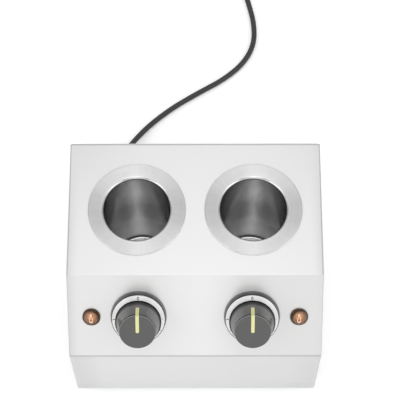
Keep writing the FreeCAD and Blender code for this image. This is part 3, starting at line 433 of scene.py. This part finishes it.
def clear_lens(name, tint, haze, rough=0.06):
    """Clear tinted plastic: lets the inside show, with a glossy skin and a faint body haze."""
    m = Look(name)
    m.set(ior=1.49, roughness=rough, specular_ior_level=0.5)
    p = m.place()
    cloud = m.noise(p, scale=260.0, detail=2.0)
    m.colour(m.mix(cloud, tone(haze, 0.92), tone(haze, 1.08)))
    m.bump(cloud, 0.04, 0.0001)
    through = m.node("ShaderNodeBsdfTransparent", (*tint, 1.0)).outputs[0]
    skin = m.tree.nodes.new("ShaderNodeFresnel")
    skin.inputs["IOR"].default_value = 1.49
    share = m.math("ADD", m.math("MULTIPLY", skin.outputs[0], 0.9), 0.05, clamp=True)
    mixed = m.node("ShaderNodeMixShader", share, through, m.shader.outputs["BSDF"])
    m.link(mixed.outputs[0], m.output.inputs["Surface"])
    return m.material


def warm_disc(name):
    """The moulded inside of a pilot lamp: warm amber with fine ribs, greyer towards the rim, and painted shade that
    makes it dark at the rim and along the top.
    """
    m = Look(name)
    m.set(roughness=0.35, coat_weight=0.2)
    p = m.place()
    x, y, z = m.xyz(p)
    across = m.math("MULTIPLY", m.math("SUBTRACT", 0.1077, m.math("ABSOLUTE", x)), 1000.0)
    rise_up = m.math("MULTIPLY", m.math("ADD", m.math("SUBTRACT", y, PANEL_Y), m.math("SUBTRACT", z, PANEL_Z)), 707.11)
    r = m.math("SQRT", m.math("ADD", m.math("MULTIPLY", across, across), m.math("MULTIPLY", rise_up, rise_up)))
    # distance from a point low on the side away from the knob: the shade lies on the far side of it
    ax, ay = m.math("ADD", across, 1.6), m.math("ADD", rise_up, 2.4)
    shade = m.math("SQRT", m.math("ADD", m.math("MULTIPLY", ax, ax), m.math("MULTIPLY", m.math("MULTIPLY", ay, ay), 0.82)))
    cloud = m.noise(p, scale=900.0, detail=3.0)
    ribs = m.noise(m.scaled(p, 900.0, 180.0, 180.0), detail=2.0)
    warm = m.mix(m.range(m.math("ADD", m.math("MULTIPLY", cloud, 0.4), m.math("MULTIPLY", ribs, 0.6)), 0.35, 0.65, 0.0, 1.0), (0.57, 0.385, 0.265), (0.76, 0.60, 0.49))
    outer = m.mix(m.range(r, 3.0, 7.0, 0.0, 1.0), warm, (0.25, 0.20, 0.17))
    # painted shade: a dark crescent along the top and a dark ring at the rim
    dark = m.math("ADD", m.range(shade, 6.9, 8.9, 0.0, 1.0), m.range(r, 7.9, 8.8, 0.0, 0.85), clamp=True)
    m.colour(m.mix(dark, outer, (0.018, 0.018, 0.017)))
    m.bump(ribs, 0.3, 0.0002)
    return m.material


LOOKS = {
    "brushed_stainless": brushed_sheet("brushed_stainless_sheet", (0.675, 0.675, 0.673), 0.28, 0.6),
    "spun_stainless": spun_metal("spun_stainless_cup", (0.66, 0.66, 0.66), 0.40, 0.15, 0.85, centre=(0.06085, 0.0327)),
    "zinc_steel": plain_metal("zinc_plated_steel", (0.62, 0.63, 0.66), 0.36),
    "heater_steel": plain_metal("heater_sheath", (0.42, 0.41, 0.39), 0.5, spread=0.15),
    "insulation_felt": fibre("ceramic_felt", (0.80, 0.77, 0.70)),
    "phenolic": moulded("phenolic_moulding", (0.06, 0.045, 0.035), 0.45),
    "copper_tube": plain_metal("drawn_copper", (0.80, 0.45, 0.30), 0.3, spread=0.1),
    "bezel_black": bezel_moulding("bezel_moulding", (0.035, 0.035, 0.036), 0.32),
    "scale_silver": moulded("scale_silver_finish", (0.80, 0.80, 0.795), 0.31, grain=900.0, depth=0.00001, strength=0.1, spread=0.02, specular=1.0),
    "knob_grey": knob_moulding("knob_moulding", (0.062, 0.062, 0.061), 0.18),
    "pointer_lime": moulded("pointer_inlay", (0.70, 0.69, 0.32), 0.32, spread=0.03, coat=0.1),
    "lens_amber": clear_lens("amber_lens", (1.0, 0.93, 0.86), (0.45, 0.24, 0.14)),
    "bulb_glass": clear_lens("bulb_glass", (0.97, 0.93, 0.90), (0.60, 0.45, 0.36)),
    "foot_rubber": moulded("foot_rubber", (0.022, 0.022, 0.022), 0.75, strength=0.4),
    "wire_black": moulded("wire_black", (0.02, 0.02, 0.02), 0.45),
    "wire_blue": moulded("wire_blue", (0.02, 0.08, 0.35), 0.42),
    "wire_brown": moulded("wire_brown", (0.14, 0.05, 0.02), 0.42),
    "wire_green": moulded("wire_green", (0.20, 0.35, 0.03), 0.42),
    "terminal_white": moulded("terminal_white", (0.78, 0.76, 0.70), 0.5),
    "cord_rubber": moulded("cord_sheath", (0.030, 0.030, 0.031), 0.48, grain=1800.0, strength=0.2),
    "pin_brass": plain_metal("nickelled_brass", (0.74, 0.72, 0.68), 0.22),
}


def wear(obj, slot):
    obj.data.materials.clear()
    obj.data.materials.append(LOOKS[slot])


for row in frame["record"]["subparts"]:
    node = NODES[row["node"]]
    wear(node, row["material_slot"])
cord.data.materials.append(LOOKS["cord_rubber"])

# ------------------------------------------------------------------ new pieces
TILT = Matrix.Rotation(math.radians(45), 4, "X")


def on_panel(x):
    """From the sloped panel's own axes (x right, y up the slope, z out of it) to the part's frame."""
    return Matrix.Translation(Vector((x, PANEL_Y, PANEL_Z))) @ TILT


def new_piece(name, bm, matrix, slot, body=HOUSING, smooth_faces=True):
    bmesh.ops.recalc_face_normals(bm, faces=bm.faces)
    mesh = bpy.data.meshes.new(name)
    bm.to_mesh(mesh)
    bm.free()
    mesh.transform(matrix)
    if smooth_faces:
        for polygon in mesh.polygons:
            polygon.use_smooth = True
    obj = bpy.data.objects.new(name, mesh)
    scene.collection.objects.link(obj)
    wear(obj, slot)
    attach(obj, body)
    return obj


def lathe(bm, profile, steps=72):
    """Turn (radius, height) pairs about the local z axis."""
    rows = []
    for r, h in profile:
        if r < 1e-9:
            rows.append([bm.verts.new((0, 0, h))] * steps)
        else:
            rows.append([bm.verts.new((r * math.cos(2 * math.pi * i / steps), r * math.sin(2 * math.pi * i / steps), h)) for i in range(steps)])
    for a, b in zip(rows, rows[1:]):
        for i in range(steps):
            j = (i + 1) % steps
            corners = [a[i], a[j], b[j], b[i]]
            corners = [c for k, c in enumerate(corners) if c not in corners[:k]]
            if len(corners) > 2:
                bm.faces.new(corners)


def rod(bm, points, radius, steps=10, closed=False):
    """A round rod along a list of points."""
    points = [Vector(q) for q in points]
    count = len(points)
    rings = []
    for k, q in enumerate(points):
        before = points[(k - 1) % count] if closed or k else q
        after = points[(k + 1) % count] if closed or k < count - 1 else q
        along = (after - before).normalized()
        side = along.cross(Vector((0, 0, 1)))
        side = side.normalized() if side.length > 1e-6 else Vector((1, 0, 0))
        lift = side.cross(along)
        rings.append([bm.verts.new(q + radius * (math.cos(2 * math.pi * i / steps) * side + math.sin(2 * math.pi * i / steps) * lift)) for i in range(steps)])
    pairs = list(zip(rings, rings[1:])) + ([(rings[-1], rings[0])] if closed else [])
    for a, b in pairs:
        for i in range(steps):
            j = (i + 1) % steps
            bm.faces.new((a[i], a[j], b[j], b[i]))
    if not closed:
        bm.faces.new(rings[0])
        bm.faces.new(list(reversed(rings[-1])))


def glowing(name, colour, strength):
    """Hot-looking electrode wire: pale metal with a weak warm glow, uneven along its length."""
    m = Look(name)
    m.set(roughness=0.4, metallic=0.2)
    p = m.place()
    patch = m.noise(p, scale=1200.0, detail=2.0)
    m.colour(m.mix(patch, tone(colour, 0.85), tone(colour, 1.1)))
    m.link(m.mix(patch, tone(colour, 0.8), tone(colour, 1.15)), m.shader.inputs["Emission Color"])
    m.shader.inputs["Emission Strength"].default_value = strength
    m.bump(patch, 0.2, 0.0001)
    return m.material


LAMP_INSIDE = warm_disc("lamp_inside")
ELECTRODE = glowing("electrode_wire", (0.95, 0.74, 0.60), 0.62)
for side, sign in SIDES:
    where_lamp = on_panel(sign * 0.1077)
    lean = -0.0004 if sign < 0 else 0.0001
    bm = bmesh.new()
    lathe(bm, [(0.0093, 0.0001), (0.0092, 0.0008), (0.0086, 0.0012), (0.0070, 0.0013), (0.0040, 0.0010), (0.0, 0.0009)])
    disc = new_piece(side + "_lamp_inner_disc", bm, where_lamp, "lens_amber")
    disc.data.materials.clear()
    disc.data.materials.append(LAMP_INSIDE)
    bm = bmesh.new()
    loop = [(lean + 0.0023 * math.sin(t) * math.sin(t / 2) ** 1.5, -0.0015 + 0.0043 * math.cos(t), 0.0023) for t in [2 * math.pi * i / 40 for i in range(40)]]
    rod(bm, loop, 0.00058, closed=True)
    bmesh.ops.create_icosphere(bm, subdivisions=3, radius=0.00130, matrix=Matrix.Translation((lean - 0.0001, 0.0024, 0.0024)))
    wires = new_piece(side + "_lamp_electrodes", bm, where_lamp, "bulb_glass")
    wires.data.materials.clear()
    wires.data.materials.append(ELECTRODE)

# scale marks, printed on the cone of each dial: a 0 at the top and plain ticks round it
SCALE_INK = moulded("scale_ink", (0.055, 0.055, 0.055), 0.5, spread=0.05)


def on_cone(r, angle):
    """A point on the scale cone, angle from the top, turning clockwise; r in metres."""
    h = 0.0063 + (0.02735 - r) * (0.0105 - 0.0063) / (0.02735 - 0.0204) + 0.00004
    return (r * math.sin(angle), r * math.cos(angle), h)


def cone_strip(bm, outline_a, outline_b, closed=False):
    """A thin strip of ink between two lists of (r, angle)."""
    a = [bm.verts.new(on_cone(*q)) for q in outline_a]
    b = [bm.verts.new(on_cone(*q)) for q in outline_b]
    last = len(a) if closed else len(a) - 1
    for i in range(last):
        j = (i + 1) % len(a)
        bm.faces.new((a[i], a[j], b[j], b[i]))


for side, sign in SIDES:
    bm = bmesh.new()
    middle = 0.02465
    turns = [2 * math.pi * i / 32 for i in range(32)]
    inner = [(middle + 0.00095 * math.sin(t), 0.00052 * math.cos(t) / middle) for t in turns]
    outer = [(middle + 0.00155 * math.sin(t), 0.00115 * math.cos(t) / middle) for t in turns]
    cone_strip(bm, inner, outer, closed=True)
    for inner_at, outer_at, start, end, width in (
        (-87.2, -91.2, 0.0240, 0.0268, 0.00090),
        (88, 88, 0.0243, 0.0256, 0.00050),
        (-119, -119, 0.0248, 0.0266, 0.00060),
        (119, 119, 0.0248, 0.0266, 0.00060),
        (-150, -150, 0.0246, 0.0266, 0.00055),
        (150, 150, 0.0246, 0.0266, 0.00055),
    ):
        radii = [start + (end - start) * i / 6 for i in range(7)]
        turn = [math.radians(inner_at + (outer_at - inner_at) * i / 6) for i in range(7)]
        cone_strip(bm, [(r, t - width / 2 / r) for r, t in zip(radii, turn)], [(r, t + width / 2 / r) for r, t in zip(radii, turn)])
    ink = new_piece(side + "_dial_marks", bm, on_panel(sign * 0.0588), "scale_silver")
    ink.data.materials.clear()
    ink.data.materials.append(SCALE_INK)

# ------------------------------------------------------------------ floor and light
floor_mesh = bpy.data.meshes.new("floor")
floor_mesh.from_pydata([(-20, -20, -0.0002), (20, -20, -0.0002), (20, 20, -0.0002), (-20, 20, -0.0002)], [], [(0, 1, 2, 3)])
floor = bpy.data.objects.new("floor", floor_mesh)
scene.collection.objects.link(floor)
paper = Look("floor_paper")
paper.set(roughness=0.9, specular_ior_level=0.1)
paper.colour(paper.mix(paper.noise(paper.place(), scale=3.0), (0.93, 0.93, 0.93), (0.95, 0.95, 0.95)))
paper.shader.inputs["Emission Color"].default_value = (1, 1, 1, 1)
paper.shader.inputs["Emission Strength"].default_value = 0.235
floor.data.materials.append(paper.material)

world = bpy.data.worlds.new("studio")
scene.world = world
world.use_nodes = True
tree = world.node_tree
tree.nodes.clear()
out = tree.nodes.new("ShaderNodeOutputWorld")
background = tree.nodes.new("ShaderNodeBackground")
tree.links.new(background.outputs[0], out.inputs["Surface"])
where = tree.nodes.new("ShaderNodeTexCoord")
split = tree.nodes.new("ShaderNodeSeparateXYZ")
tree.links.new(where.outputs["Generated"], split.inputs[0])


def world_ramp(socket, stops):
    """Brightness stops, halved for the ramp and doubled again after it."""
    n = tree.nodes.new("ShaderNodeValToRGB")
    tree.links.new(socket, n.inputs[0])
    while len(n.color_ramp.elements) < len(stops):
        n.color_ramp.elements.new(0.5)
    for element, (at, value) in zip(n.color_ramp.elements, stops):
        element.position = at
        element.color = (value / 2, value / 2, value / 2, 1.0)
    return world_math("MULTIPLY", n.outputs[0], 2.0)


def world_math(op, a, b=None):
    n = tree.nodes.new("ShaderNodeMath")
    n.operation = op
    for i, value in enumerate((a, b)):
        if isinstance(value, bpy.types.NodeSocket):
            tree.links.new(value, n.inputs[i])
        elif value is not None:
            n.inputs[i].default_value = value
    return n.outputs[0]


# A white tent. The first ramp runs over the top from the front horizon (0) through the zenith (0.5) to
# the rear horizon (1). The strip overhead is bright and narrow, the front and rear walls are wider, and
# two soft panels stand to the left and right in front.
x_dir, y_dir, z_dir = split.outputs
far = world_math("ABSOLUTE", x_dir)
over = world_math("DIVIDE", world_math("ARCTAN2", z_dir, world_math("MULTIPLY", y_dir, -1.0)), math.pi)


def rise(socket, start, end):
    """0 before start, 1 after end, straight between."""
    n = tree.nodes.new("ShaderNodeMapRange")
    n.clamp = True
    tree.links.new(socket, n.inputs[0])
    for i, value in enumerate((start, end, 0.0, 1.0)):
        n.inputs[i + 1].default_value = value
    return n.outputs[0]


def blend(share, first, second):
    return world_math("ADD", first, world_math("MULTIPLY", share, world_math("SUBTRACT", second, first)))


arch = world_ramp(over, [(0.0, 0.80), (0.05, 1.05), (0.085, 1.42), (0.15, 1.50), (0.21, 1.22), (0.35, 1.25), (0.42, 1.50), (0.50, 2.30),
                         (0.57, 2.62), (0.61, 1.75), (0.64, 1.00), (0.68, 0.82), (0.76, 1.00), (0.86, 1.10), (0.94, 0.80), (0.97, 0.30), (1.0, 0.20)])
front_fall = world_ramp(far, [(0.0, 1.07), (0.02, 1.05), (0.05, 0.99), (0.08, 0.95), (0.12, 0.93), (0.45, 0.80), (0.8, 0.60), (1.0, 0.40)])
strip_fall = world_ramp(far, [(0.0, 1.04), (0.03, 0.99), (0.08, 0.90), (0.15, 0.62), (0.25, 0.32), (0.35, 0.19), (0.50, 0.22), (0.8, 0.40), (1.0, 0.30)])
shoulder_fall = world_ramp(far, [(0.0, 1.04), (0.03, 0.99), (0.08, 0.91), (0.15, 0.80), (0.25, 0.66), (0.35, 0.56), (0.55, 0.55), (0.8, 0.50), (1.0, 0.30)])
rear_fall = world_ramp(far, [(0.0, 1.0), (0.3, 0.95), (0.6, 0.75), (1.0, 0.40)])
fall = blend(rise(over, 0.20, 0.30), front_fall, strip_fall)
fall = blend(rise(over, 0.57, 0.63), fall, shoulder_fall)
fall = blend(rise(over, 0.74, 0.84), fall, rear_fall)
panels = world_ramp(far, [(0.0, 0.0), (0.40, 0.0), (0.47, 1.95), (0.78, 1.95), (0.9, 0.6), (1.0, 0.3)])
panels = world_math("MULTIPLY", panels, world_math("MULTIPLY", rise(y_dir, 0.12, -0.05), rise(z_dir, 0.15, 0.35)))
tent = world_math("MAXIMUM", world_math("MULTIPLY", arch, fall), panels)
tree.links.new(blend(rise(far, 0.80, 0.96), tent, 0.62), background.inputs["Strength"])
background.inputs["Color"].default_value = (1, 1, 1, 1)

scene.view_settings.view_transform = "Standard"
scene.view_settings.look = "None"
scene.view_settings.exposure = 0.0
scene.view_settings.gamma = 1.0
scene.cycles.use_denoising = True
